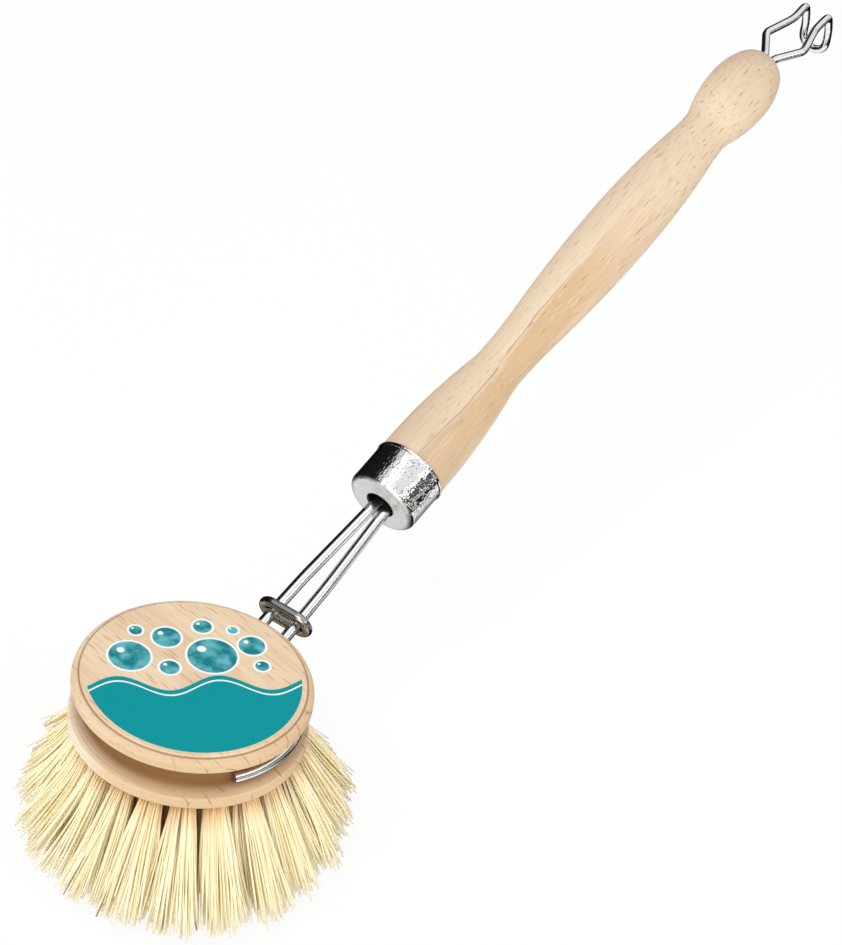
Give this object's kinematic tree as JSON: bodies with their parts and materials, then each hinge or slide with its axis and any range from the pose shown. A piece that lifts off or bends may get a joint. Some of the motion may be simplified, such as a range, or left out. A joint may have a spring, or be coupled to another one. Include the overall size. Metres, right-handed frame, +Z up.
{
  "type": "dish brush",
  "caption": "Wooden dish brush: round bristle head held by its groove in a sprung wire fork with a sliding lock ring, on a turned handle with a ferrule and a wire hanging hook.",
  "frame": {"origin": "centre of the head's flat top", "axes": "+Z up out of the head's flat top, +X from the head towards the handle, which rises away from the head in the XZ plane"},
  "size_m": [0.2602, 0.0748, 0.0984],
  "materials": {
    "beech": "fine-sanded, waxed",
    "fibre": "stiff plant fibre",
    "fork_steel": "bright drawn wire",
    "ring_steel": "plain drawn wire",
    "ferrule_plate": "galvanised sheet with fine spangle",
    "hook_steel": "bright drawn wire",
    "pin_steel": "plain drawn wire"
  },
  "bodies": {
    "handle": {"handle": "beech", "ferrule": "ferrule_plate", "fork_loop": "fork_steel", "retaining_pin": "pin_steel", "hook_wire": "hook_steel"},
    "lock_ring": {"lock_ring": "ring_steel"},
    "left_arm": {"left_fork_arm": "fork_steel"},
    "right_arm": {"right_fork_arm": "fork_steel"},
    "head": {"head_block": "beech", "tuft_anchors": "pin_steel", "tuft_centre": "fibre", "tuft_inner_01": "fibre", "tuft_inner_02": "fibre", "tuft_inner_03": "fibre", "tuft_inner_04": "fibre", "tuft_inner_05": "fibre", "tuft_inner_06": "fibre", "tuft_middle_01": "fibre", "tuft_middle_02": "fibre", "tuft_middle_03": "fibre", "tuft_middle_04": "fibre", "tuft_middle_05": "fibre", "tuft_middle_06": "fibre", "tuft_middle_07": "fibre", "tuft_middle_08": "fibre", "tuft_middle_09": "fibre", "tuft_middle_10": "fibre", "tuft_middle_11": "fibre", "tuft_middle_12": "fibre", "tuft_middle_13": "fibre", "tuft_outer_01": "fibre", "tuft_outer_02": "fibre", "tuft_outer_03": "fibre", "tuft_outer_04": "fibre", "tuft_outer_05": "fibre", "tuft_outer_06": "fibre", "tuft_outer_07": "fibre", "tuft_outer_08": "fibre", "tuft_outer_09": "fibre", "tuft_outer_10": "fibre", "tuft_outer_11": "fibre", "tuft_outer_12": "fibre", "tuft_outer_13": "fibre", "tuft_outer_14": "fibre", "tuft_outer_15": "fibre", "tuft_outer_16": "fibre", "tuft_outer_17": "fibre", "tuft_outer_18": "fibre", "tuft_outer_19": "fibre", "tuft_outer_20": "fibre"}
  },
  "joints": [
    {"name": "ring_slide", "type": "slide", "parent": "handle", "child": "lock_ring", "axis": [0.9498, 0, 0.3129], "range_m": [0, 0.031]},
    {"name": "left_arm_spring", "type": "hinge", "parent": "handle", "child": "left_arm", "pos_m": [0.06531, 0.00132, 0.00667], "axis": [0, 0, -1], "range_deg": [0, 2.9]},
    {"name": "right_arm_spring", "type": "hinge", "parent": "handle", "child": "right_arm", "pos_m": [0.06531, -0.00132, 0.00667], "axis": [0, 0, 1], "range_deg": [0, 2.9]},
    {"name": "head_turn", "type": "hinge", "parent": "handle", "child": "head", "pos_m": [0, 0, 0], "axis": [0, 0, 1], "continuous": true}
  ],
  "couplings": [
    {"joint": "left_arm_spring", "follows": "ring_slide", "rad_per_m": 1.6},
    {"joint": "right_arm_spring", "follows": "ring_slide", "rad_per_m": 1.6}
  ]
}
